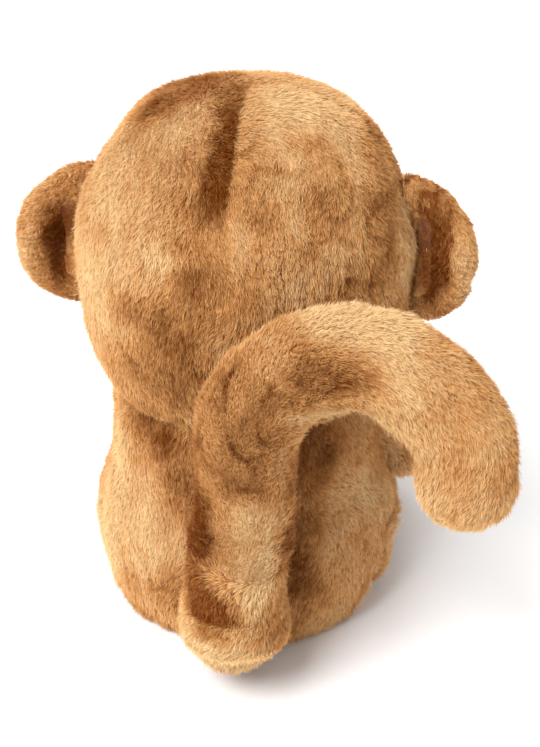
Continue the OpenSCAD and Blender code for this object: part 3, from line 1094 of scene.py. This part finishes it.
# Painted light and shade on the tail: negative strengths are painted shade, positive ones painted light, with painted
# highlights along the arch's rims
TAIL_PAINTED_LIGHT_AND_SHADE = [
    ((1, 118, 62), (11, 14, 13), -0.5),
    ((9, 112, 104), (11, 20, 42), -0.4),
    ((-18, 120, 88), (10, 16, 40), 0.34),
    ((-34, 104, 100), (4, 16, 46), -0.3),
    ((-16, 120, 140), (14, 18, 16), -0.26),
    ((-24, 120, 164), (13, 16, 14), -0.24),
    ((-26, 104, 190), (16, 24, 12), 0.28),
    ((-62, 104, 210), (40, 26, 9), 0.36),
    ((-58, 122, 188), (24, 12, 8), -0.14),
    ((-98, 116, 196), (26, 22, 16), 0.22),
    ((-116, 112, 160), (24, 24, 26), 0.2),
    ((-117, 116, 128), (24, 20, 14), 0.26),
    ((-54, 112, 167), (26, 16, 5), 0.34),
    ((-42, 92, 150), (8, 16, 30), -0.3),
]


# The operators, one for each piece or group of like pieces


def number(name, words, value, **options):
    return bpy.props.FloatProperty(name=name, description=words, default=value, **options)


def colour(name, words, value):
    return bpy.props.FloatVectorProperty(
        name=name, description=words, default=value, size=3, subtype="COLOR", min=0, max=1
    )


class PileSettings(bpy.types.PropertyGroup):
    length: number("Pile length", "Length of a strand along its bend", 0.0058, subtype="DISTANCE")
    thickness: number(
        "Strand thickness", "Thickness of a bundle of fibres at its root", 0.00021, subtype="DISTANCE", precision=5
    )
    density: number("Strands per mm2", "Strands on each square millimetre of cloth", 3.6)
    lean: number("Lean", "How far the pile lies down, from upright to flat", 0.7, subtype="FACTOR")
    tuft: number("Tuft size", "Distance between the tufts that strands draw into", 0.0034, subtype="DISTANCE")
    clump: number("Clumping", "Share of the way that a tip draws in to its tuft", 0.6, subtype="FACTOR")
    relief: number("Relief", "Height of the tufts in the cover's own mesh", 0.0011, subtype="DISTANCE")
    seam_dip: number("Seam dip", "Depth that a seam sinks into the pile", 0.0016, subtype="DISTANCE")


class ColourSettings(bpy.types.PropertyGroup):
    # The pile's colours under its painted light and shade: the dark ones are painted shade, the light ones painted
    # light, the middle ones its own tone
    fur_painted_shade: colour("Fur dark", "Tan pile that stands up or lies away", (0.27, 0.07, 0.005))
    fur_middle: colour("Fur middle", "Tan pile between the two", (0.77, 0.41, 0.145))
    fur_painted_light: colour("Fur light", "Tan pile brushed flat", (0.96, 0.71, 0.38))
    pale_painted_shade: colour("Pale dark", "Face pile that stands up", (0.62, 0.42, 0.24))
    pale_middle: colour("Pale middle", "Face pile between the two", (0.9, 0.7, 0.48))
    pale_painted_light: colour("Pale light", "Face pile brushed flat", (1.0, 0.88, 0.7))


class StageSettings(bpy.types.PropertyGroup):
    floor: colour("Floor", "Colour of the floor", (0.97, 0.97, 0.97))
    surround: number("Surround", "Strength of the pale light from all round", 0.62)
    key: number("Key light", "Strength of the broad light above", 3.3)


class PLUSH_OT_head(bpy.types.Operator):
    """Sew the two back panels and the front panel of the head, with their pile"""

    bl_idname = "plush.head"
    bl_label = "Head covers"

    def execute(self, context):
        strand = fur_pair("fur")[1]
        layers = []
        for side, word in ((1, "left"), (-1, "right")):
            # Painted light and shade of the head, with the painted shade along the seam on the left panel only
            marks = HEAD_PAINTED_LIGHT_AND_SHADE + (SEAM_PAINTED_SHADE if side > 0 else [])
            layer = head_layer(head_back_grid(side, 0), False, (True, False), marks)
            inner = head_back_grid(side, CLOTH)
            sewn(f"HeadBack_{word}", layer, inner, False, (True, False), "head", [f"head_back_{word}"])
            layers.append((layer, False))
        layer = head_layer(head_front_grid(0), True, (False, False), HEAD_PAINTED_LIGHT_AND_SHADE)
        sewn("HeadFront", layer, head_front_grid(CLOTH), True, (False, False), "head", ["head_front"])
        layers.append((layer, True))
        strands("HeadPile", layers, "head", strand, seed=21)
        return {"FINISHED"}


class PLUSH_OT_face(bpy.types.Operator):
    """Sew the pale face panel and the muzzle, and finish the eyes, the nose, the washers and the mouth"""

    bl_idname = "plush.face"
    bl_label = "Face and muzzle"

    def execute(self, context):
        strand = fur_pair("pale_fur")[1]
        patch = head_layer(face_patch_grid(0), True, (True, False), relief=0.5, seed=5)
        sewn("FacePanel", patch, face_patch_grid(CLOTH), True, (True, False), "head", ["face_patch"], "pale_fur")
        outer = muzzle_grid(0)
        muzzle = napped(
            outer, True, (True, False), MUZZLE[0], np.array([0, 0.6, -1.0]), [(MUZZLE[0], (60, 60, 60), 0.3)], 6,
            relief=0.4, dip=1.6,
        )
        sewn("MuzzleCover", muzzle, muzzle_grid(CLOTH), True, (True, False), "head", ["muzzle_cover"], "pale_fur")

        def bare(points):
            ball = np.linalg.norm(points - MUZZLE[0], axis=-1)
            arc = np.abs(ball - MUZZLE[1]) < 2.5
            line = np.abs(points[..., 1] - (MUZZLE[0][1] - 30)) < 1.5
            mouth = arc & line & (points[..., 2] < MUZZLE[0][2] - 8)
            eyes = near(points, eye_place(1), 8.2) | near(points, eye_place(-1), 8.2)
            return eyes | near(points, nose_place(), 9.5) | mouth | (ball < MUZZLE[1] - 3)

        strands(
            "FacePile", [(patch, True), (muzzle, True)], "head", strand, bare, closer=1.3, shorter=0.42, seed=22
        )
        gloss = plain_finish(
            "EyePlastic", ((0.006, 0.004, 0.003), (0.02, 0.012, 0.008)), 0.004, 0.06,
            Coat_Weight=0.8, Coat_Roughness=0.03,
        )
        satin = plain_finish(
            "NosePlastic", ((0.022, 0.011, 0.007), (0.035, 0.018, 0.011)), 0.0012, 0.28, 0.0001, Coat_Weight=0.3
        )
        white = plain_finish("WasherPlastic", ((0.72, 0.72, 0.7), (0.82, 0.82, 0.8)), 0.003, 0.4, 0.00005)
        thread = twisted_thread("MouthThread")
        for node, material in (
            ("left_eye", gloss), ("right_eye", gloss), ("nose_button", satin), ("mouth_thread", thread),
            ("left_eye_washer", white), ("right_eye_washer", white), ("nose_washer", white),
        ):
            finish_node(node, material)
        return {"FINISHED"}


def finish_node(node, material):
    """Puts a material on a node of the frame that keeps its own shape."""
    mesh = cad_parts[node].data
    if mesh.materials:
        for k in range(len(mesh.materials)):
            mesh.materials[k] = material
    else:
        mesh.materials.append(material)


class PLUSH_OT_ears(bpy.types.Operator):
    """Sew the two ears: a dished back that wraps the rim, and a pale lining in front"""

    bl_idname = "plush.ears"
    bl_label = "Ears"

    def execute(self, context):
        for side, word in ((1, "left"), (-1, "right")):
            body = f"{word}_ear"
            middle = (EAR_HINGE + np.array([6.5, 3, 0])) * np.array([side, 1, 1])
            # Painted shade in the dished back, and a painted light band along the outer rim, strong on the right ear
            # and faint on the left
            marks = [
                (EAR_HINGE * np.array([side, 1, 1]) + np.array([-side * 3, 5, 0]), (12, 14, 25), -0.62),
                (EAR_HINGE * np.array([side, 1, 1]) + np.array([side * 15, 12, 0]), (9, 16, 36), 0.14 - side * 0.12),
            ]
            flow = np.array([side * 1.0, 0.3, -0.5])
            outer = ear_grid(side, 0, *EAR_BACK_SPAN, 100)
            back = napped(outer, True, (True, False), middle, flow, marks, 31 + side, swirl=0.8)
            inner = ear_grid(side, CLOTH, *EAR_BACK_SPAN, 100)
            sewn(f"EarBack_{word}", back, inner, True, (True, False), body, [f"{body}_back"])
            outer = ear_grid(side, 0, *EAR_FRONT_SPAN, 50)
            lining = napped(outer, True, (False, True), middle, flow, (), 33 + side, relief=0.5)
            inner = ear_grid(side, CLOTH, *EAR_FRONT_SPAN, 50)
            sewn(f"EarLining_{word}", lining, inner, True, (False, True), body, [f"{body}_lining"], "pale_fur")
            strands(f"EarPile_{word}", [(back, True)], body, fur_pair("fur")[1], shorter=0.72, seed=24 + side)
            strands(
                f"EarLiningPile_{word}", [(lining, True)], body, fur_pair("pale_fur")[1],
                closer=1.2, shorter=0.5, seed=27 + side,
            )
            wad(f"EarPadding_{word}", ear_grid(side, 4.2, -math.pi / 2, math.pi / 2, 40), body, [f"{body}_padding"])
        return {"FINISHED"}


class PLUSH_OT_torso(bpy.types.Operator):
    """Sew the torso's two back panels, its belly panel and its flat base"""

    bl_idname = "plush.torso"
    bl_label = "Torso covers"

    def execute(self, context):
        strand = fur_pair("fur")[1]
        layers = []
        flow = np.array([0.0, 0.1, -1.0])
        panels = [
            ("TorsoBack_left", "torso_back_left", torso_back_way(1), 124),
            ("TorsoBack_right", "torso_back_right", torso_back_way(-1), 124),
            ("BellyPanel", "belly_panel", belly_way, 230),
        ]
        for name, node, way, count in panels:
            outer = torso_grid(way, count, 0)
            layer = napped(outer, False, (False, False), TORSO_MIDDLE, flow, TORSO_PAINTED_LIGHT_AND_SHADE, 1129)
            layer[0][..., 2] = np.maximum(layer[0][..., 2], 0.2)
            sewn(name, layer, torso_grid(way, count, CLOTH), False, (False, False), "torso", [node])
            layers.append((layer, False))
        outer = base_grid(0.4, 0)
        base = napped(
            outer, True, (True, False), np.array([0, -2.0, 60]), np.array([0, 1.0, 0]), (), 45, relief=0.15, dip=0
        )
        base[0][..., 2] = np.clip(base[0][..., 2], 0.0, 0.9)
        # The base carries the painted light and shade as its nap attribute
        piece = shell("SeatBase", base[0], base_grid(CLOTH, 0), True, (True, False), {"nap": base[3]})
        piece.data.materials.append(fur_pair("fur")[0])
        stands_for(piece, "torso", ["seat_base"])
        strands("TorsoPile", layers, "torso", strand, hidden_on_torso, seed=31)
        return {"FINISHED"}


class PLUSH_OT_arms(bpy.types.Operator):
    """Sew the two arms, with their pile and filling"""

    bl_idname = "plush.arms"
    bl_label = "Arms"

    def execute(self, context):
        for bar, word in ((LEFT_ARM, "left"), (RIGHT_ARM, "right")):
            body = f"{word}_arm"
            length = bar_length(bar)
            section = arm_section(length)
            span = (-ARM_RADIUS, length + ARM_RADIUS)
            outer = bar_grid(bar, section, *span, 110, 110)
            flow = bar[1] - bar[0]
            layer = napped(outer, True, (True, True), bar_middle(bar, outer), flow, (), 51, dip=0)
            inner = bar_grid(bar, section, *span, 110, 110, inset=CLOTH)
            sewn(f"ArmCover_{word}", layer, inner, True, (True, True), body, [f"{body}_cover"])
            strands(f"ArmPile_{word}", [(layer, True)], body, fur_pair("fur")[1], inside_torso, seed=33)
            wad(f"ArmWad_{word}", bar_grid(bar, section, *span, 50, 50, inset=CLOTH + 0.6), body, [f"{body}_stuffing"])
        return {"FINISHED"}


def thigh(points):
    """Fills a leg's upper side out towards the torso's leg room, most of all near the hip."""
    rise = np.clip((points[..., 2] - LEFT_LEG[0][2]) / LEG_RADIUS, 0, 1)
    share = smooth_step(points[..., 1], -78, -30) * (1 - smooth_step(points[..., 1], -14, 6))
    outside = smooth_step(np.abs(points[..., 0]), 50, 62)
    points[..., 2] += 5.0 * rise * share * outside
    return points


class PLUSH_OT_legs(bpy.types.Operator):
    """Sew the two legs with their rounder feet, their pale soles and their filling"""

    bl_idname = "plush.legs"
    bl_label = "Legs"

    def execute(self, context):
        for bar, word in ((LEFT_LEG, "left"), (RIGHT_LEG, "right")):
            body = f"{word}_leg"
            length = bar_length(bar)
            section = leg_section(length)
            seam = length + math.sqrt(FOOT_RADIUS**2 - SOLE_RADIUS**2)
            flow = bar[1] - bar[0] + np.array([0, 0, -20.0])
            outer = thigh(bar_grid(bar, section, -LEG_RADIUS, seam, 140, 140, crowd=(True, False)))
            layer = napped(outer, True, (True, False), bar_middle(bar, outer), flow, (), 61)
            layer[0][..., 2] = np.maximum(layer[0][..., 2], 0.1)
            inner = thigh(bar_grid(bar, section, -LEG_RADIUS, seam, 140, 140, inset=CLOTH, crowd=(True, False)))
            sewn(f"LegCover_{word}", layer, inner, True, (True, False), body, [f"{body}_cover"])
            front = length + FOOT_RADIUS - 1.5

            def sole_section(x):
                return SOLE_RADIUS * np.sqrt(np.maximum(1 - ((x - seam) / (front - seam)) ** 2, 0))

            outer = bar_grid(bar, sole_section, seam, front, 50, 140, crowd=(False, True))
            sole = napped(outer, True, (False, True), bar_middle(bar, outer), flow, (), 63, relief=0.4, dip=0.8)
            inner = bar_grid(bar, sole_section, seam, front, 50, 140, inset=CLOTH * 0.8, crowd=(False, True))
            sewn(f"Sole_{word}", sole, inner, True, (False, True), body, [f"{word}_sole"], "pale_fur")

            def bare(points):
                return inside_torso(points, 3.0) | (points[..., 2] < 1.0)

            strands(f"LegPile_{word}", [(layer, True)], body, fur_pair("fur")[1], bare, seed=35)
            strands(
                f"SolePile_{word}", [(sole, True)], body, fur_pair("pale_fur")[1],
                closer=1.2, shorter=0.45, seed=36,
            )
            span = (-LEG_RADIUS, length + FOOT_RADIUS - 3)
            inner = thigh(bar_grid(bar, section, *span, 60, 60, inset=CLOTH + 0.6))
            wad(f"LegWad_{word}", inner, body, [f"{body}_stuffing"])
        return {"FINISHED"}


class PLUSH_OT_tail(bpy.types.Operator):
    """Sew the tail's root, and its stem and hook as one tube that bends half way up"""

    bl_idname = "plush.tail"
    bl_label = "Tail"

    def execute(self, context):
        strand = fur_pair("fur")[1]
        way = all_round(150, 130)
        outer = root_point(way, 0)
        flow = np.stack([way[..., 0] * 0.6, way[..., 1], -1.2 + 0 * way[..., 0]], axis=-1)
        root = napped(outer, True, (True, True), ROOT_MIDDLE, flow, ROOT_PAINTED_LIGHT_AND_SHADE, 71, dip=0)
        root[0][..., 2] = np.maximum(root[0][..., 2], 0.1)
        sewn("TailRoot", root, root_point(way, CLOTH), True, (True, True), "torso", ["tail_root_cover"])

        def bare_root(points):
            under_stem = (points[..., 2] > STEM_FOOT[2] - 1.6) & (off_stem_axis(points) < TAIL_RADIUS - 2)
            return (points[..., 2] < 0.8) | inside_torso(points, -1.0) | under_stem

        strands("TailRootPile", [(root, True)], "torso", strand, bare_root, seed=41)
        wad("TailRootWad", root_point(all_round(50, 50), CLOTH + 0.8), "torso", ["tail_root_stuffing"])

        outer, centre = tail_grid(0)
        along = unit(np.gradient(centre, axis=1) + np.array([0, 0, 1e-6]))
        part = smooth_step(np.linalg.norm(outer - STEM_FOOT, axis=-1), 26, 44)[..., None]
        along = along * (2 * part - 1) + np.array([0.3, 0, 0])
        tail = napped(outer, True, (True, True), centre - 0.5 * along, along, TAIL_PAINTED_LIGHT_AND_SHADE, 134, swirl=0.7, dip=0)
        tail[0][..., 1] = np.maximum(tail[0][..., 1], STEM_FOOT[1] - TAIL_RADIUS + HEAD_PLAY)
        inner = tail_grid(CLOTH)[0]
        bend = ("tail_stem", "tail_hook", tuple(TAIL_BEND[0] * MM), tuple(TAIL_BEND[1] * MM))
        sewn("TailCover", tail, inner, True, (True, True), None, ["tail_stem_cover", "tail_hook_cover"], blend=bend)

        def bare_stem(points):
            foot = (points[..., 2] < STEM_FOOT[2] + 1.2) & (off_stem_axis(points) < TAIL_RADIUS - 2)
            return (bend_share(points) > 0.5) | foot

        def bare_hook(points):
            return bend_share(points) <= 0.5

        strands("TailStemPile", [(tail, True)], "tail_stem", strand, bare_stem, seed=42)
        strands("TailHookPile", [(tail, True)], "tail_hook", strand, bare_hook, seed=42)
        wad(
            "TailWad", tail_grid(CLOTH + 0.6, False)[0][::3, ::2], None,
            ["tail_stem_stuffing", "tail_hook_stuffing"], bend,
        )
        return {"FINISHED"}


class PLUSH_OT_filling(bpy.types.Operator):
    """Pack the head, muzzle, neck and torso with fibre, and put the bag of pellets in the seat"""

    bl_idname = "plush.filling"
    bl_label = "Filling"

    def execute(self, context):
        way = all_round(90, 80)
        reach = head_reach(HEAD_MIDDLE, way) - CLOTH - 0.8
        reach = np.minimum(reach, ball_entry(HEAD_MIDDLE, way, (CHEST[0], CHEST[1] + 4.5)))
        wad("HeadWad", HEAD_MIDDLE + way * reach[..., None], "head", ["head_stuffing"])

        outer = muzzle_grid(CLOTH + 0.6, 24)
        rim = outer[:, ::-1]
        ray = unit(rim - MUZZLE[0])
        behind = MUZZLE[0] + ray * np.minimum(
            head_reach(MUZZLE[0], ray) + 0.8, MUZZLE[1] - CLOTH - 0.7
        )[..., None]
        wad("MuzzleWad", np.concatenate([outer, behind[:, 1:]], axis=1), "head", ["muzzle_stuffing"])

        reach = np.linalg.norm(torso_point(way, CLOTH + 0.9) - TORSO_MIDDLE, axis=-1)
        top = smooth_step(way[..., 2], 0.74, 0.86)
        reach = reach - 8.0 * top
        down = np.maximum(-way[..., 2], 1e-3)
        reach = np.minimum(reach, np.where(way[..., 2] < 0, (TORSO_MIDDLE[2] - CLOTH - 1.2) / down, 400))
        reach = np.minimum(reach, ball_entry(TORSO_MIDDLE, way, (np.array([0, 0, -5.0]), 35.0)))
        wad("TorsoWad", TORSO_MIDDLE + way * reach[..., None], "torso", ["torso_stuffing"])

        u, v = grid(110, 64, around=True)
        out = np.minimum(v, 1 - v) * 2 * math.radians(45)
        blend = smooth_step(v, 0.46, 0.54)
        radius = (CHEST[1] - 1.4) * (1 - blend) + (CHEST[1] - 6.6) * blend
        ring = from_top(u * TAU, out, 1)
        wad("NeckWad", CHEST[0] + ring * radius[..., None], "neck", ["neck_stuffing"])

        way = all_round(120, 70)
        power = 0.72
        bag = np.sign(way) * np.abs(way) ** power
        pucker = 1 - 0.05 * np.abs(np.sin(6 * np.arctan2(way[..., 1], way[..., 0]))) * (1 - np.abs(way[..., 2]))
        points = bag * np.array([21.5, 21.5, 11.0]) * pucker[..., None] + [0, 0, CLOTH + 12.0]
        points += 0.5 * unit(way) * cloud(points, 4.5, 81)[..., None]
        piece = closed_skin("PelletBag", points)
        piece.data.materials.append(
            plain_finish("PelletBagCloth", ((0.68, 0.64, 0.54), (0.82, 0.78, 0.68)), 0.0015, 0.85, 0.0004)
        )
        stands_for(piece, "torso", ["pellet_bag"])
        return {"FINISHED"}


def soft_sun(name, place, target, strength):
    """A broad even light, like a large overcast window, that shines from one place towards another."""
    data = bpy.data.lights.new(name, "SUN")
    data.energy = strength
    data.angle = math.radians(34)
    lamp = bpy.data.objects.new(name, data)
    lamp.location = place
    lamp.rotation_euler = (Vector(target) - Vector(place)).to_track_quat("-Z", "Y").to_euler()
    bpy.context.scene.collection.objects.link(lamp)
    return lamp


class PLUSH_OT_stage(bpy.types.Operator):
    """Lay the pale floor, hang the soft lights and set the camera behind and above the monkey"""

    bl_idname = "plush.stage"
    bl_label = "Stage"

    def execute(self, context):
        stage = context.scene.plush_stage
        bpy.ops.mesh.primitive_plane_add(size=12, location=(0, 0, -0.0008))
        floor = context.active_object
        floor.name = "Floor"
        material, tree, shader = new_material("FloorPaper")
        shader.inputs["Base Color"].default_value = (*stage.floor, 1)
        shader.inputs["Roughness"].default_value = 0.9
        floor.data.materials.append(material)
        world = bpy.data.worlds.new("Surround")
        world.use_nodes = True
        background = world.node_tree.nodes["Background"]
        background.inputs["Color"].default_value = (1, 1, 1, 1)
        seen = wire(world.node_tree, "ShaderNodeLightPath").outputs["Is Camera Ray"]
        power = wire(
            world.node_tree, "ShaderNodeMath", {0: seen, 1: 1 - stage.surround, 2: stage.surround},
            operation="MULTIPLY_ADD",
        )
        world.node_tree.links.new(power.outputs[0], background.inputs["Strength"])
        context.scene.world = world
        context.scene.view_settings.view_transform = "Standard"
        target = (-0.01, 0.0, 0.13)
        soft_sun("KeyLight", (0.4, 0.62, 1.0), target, stage.key)
        soft_sun("FrontLight", (0.35, -1.0, 0.75), target, stage.key * 0.32)
        data = bpy.data.cameras.new("Camera")
        data.lens = 80
        data.sensor_width = 36
        camera = bpy.data.objects.new("Camera", data)
        azimuth, elevation = math.radians(187), math.radians(28)
        aim = Vector((-0.013, 0.008, 0.129))
        back = Vector((
            math.sin(azimuth) * math.cos(elevation), -math.cos(azimuth) * math.cos(elevation), math.sin(elevation),
        ))
        camera.location = aim + back * 0.85
        camera.rotation_euler = (-back).to_track_quat("-Z", "Y").to_euler()
        context.scene.collection.objects.link(camera)
        context.scene.camera = camera
        return {"FINISHED"}


class PLUSH_PT_panel(bpy.types.Panel):
    """The plush monkey's settings and the steps that build it"""

    bl_label = "Plush monkey"
    bl_idname = "PLUSH_PT_panel"
    bl_space_type = "VIEW_3D"
    bl_region_type = "UI"
    bl_category = "Plush"

    def draw(self, context):
        for group in ("plush_pile", "plush_colours", "plush_stage"):
            settings = getattr(context.scene, group)
            box = self.layout.box()
            for key in settings.__annotations__:
                box.prop(settings, key)
        for step in STEPS:
            self.layout.operator(step.bl_idname)


STEPS = (
    PLUSH_OT_stage, PLUSH_OT_head, PLUSH_OT_face, PLUSH_OT_ears, PLUSH_OT_torso, PLUSH_OT_arms, PLUSH_OT_legs,
    PLUSH_OT_tail, PLUSH_OT_filling,
)
CLASSES = (PileSettings, ColourSettings, StageSettings, *STEPS, PLUSH_PT_panel)


def register():
    for kind in CLASSES:
        bpy.utils.register_class(kind)
    bpy.types.Scene.plush_pile = bpy.props.PointerProperty(type=PileSettings)
    bpy.types.Scene.plush_colours = bpy.props.PointerProperty(type=ColourSettings)
    bpy.types.Scene.plush_stage = bpy.props.PointerProperty(type=StageSettings)


def unregister():
    del bpy.types.Scene.plush_pile
    del bpy.types.Scene.plush_colours
    del bpy.types.Scene.plush_stage
    for kind in reversed(CLASSES):
        bpy.utils.unregister_class(kind)


def main():
    register()
    bpy.ops.plush.stage()
    bpy.ops.plush.head()
    bpy.ops.plush.face()
    bpy.ops.plush.ears()
    bpy.ops.plush.torso()
    bpy.ops.plush.arms()
    bpy.ops.plush.legs()
    bpy.ops.plush.tail()
    bpy.ops.plush.filling()


if __name__ == "__main__":
    main()
